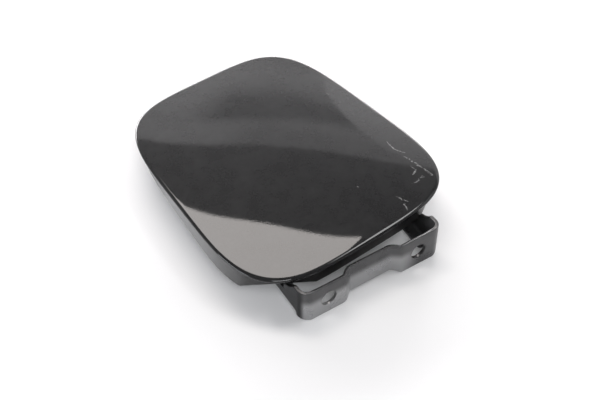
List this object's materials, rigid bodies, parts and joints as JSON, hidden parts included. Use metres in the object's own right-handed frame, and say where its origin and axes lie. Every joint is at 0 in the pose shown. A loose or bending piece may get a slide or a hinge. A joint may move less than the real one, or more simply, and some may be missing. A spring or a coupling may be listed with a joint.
{
  "type": "car fuel door",
  "caption": "Crowned car fuel door with rounded corners, hemmed over a pressed inner panel, sprung on a U-shaped bolt-on hinge bracket, with a wire striker loop at its latch end.",
  "frame": {"origin": "midway between the two bolt holes, on the face of the bracket that seats on the car", "axes": "+X along the hinge line, +Y from the bracket to the latch end, +Z out of the painted face with the door fully open"},
  "size_m": [0.1362, 0.1731, 0.0275],
  "materials": {
    "door_paint": "gloss clear coat",
    "panel_primer": "satin grey primer",
    "bracket_coat": "satin black electrocoat",
    "coated_steel": "satin black electrocoat",
    "sealer": "painted over",
    "mastic": "matt",
    "bush_plastic": "moulded",
    "plated_steel": "zinc plated",
    "spring_steel": "oiled wire",
    "buffer_rubber": "matt"
  },
  "bodies": {
    "bracket": {"hinge_bracket": "bracket_coat", "hinge_pin": "plated_steel", "pin_ring": "plated_steel", "return_spring": "spring_steel"},
    "door": {"outer_skin": "door_paint", "inner_panel": "panel_primer", "seam_sealer": "sealer", "mastic_pads": "mastic", "hinge_leaf": "coated_steel", "pivot_bushes": "bush_plastic", "striker_plate": "coated_steel", "striker_loop": "plated_steel", "striker_rivets": "plated_steel", "rubber_buffers": "buffer_rubber"}
  },
  "joints": [
    {"name": "door_hinge", "type": "hinge", "parent": "bracket", "child": "door", "pos_m": [0, 0.037, -0.0036], "axis": [-1, 0, 0], "range_deg": [0, 88], "stiffness_Nm_per_rad": 0.13, "springref_deg": -20.05, "deforming": ["return_spring"]}
  ]
}
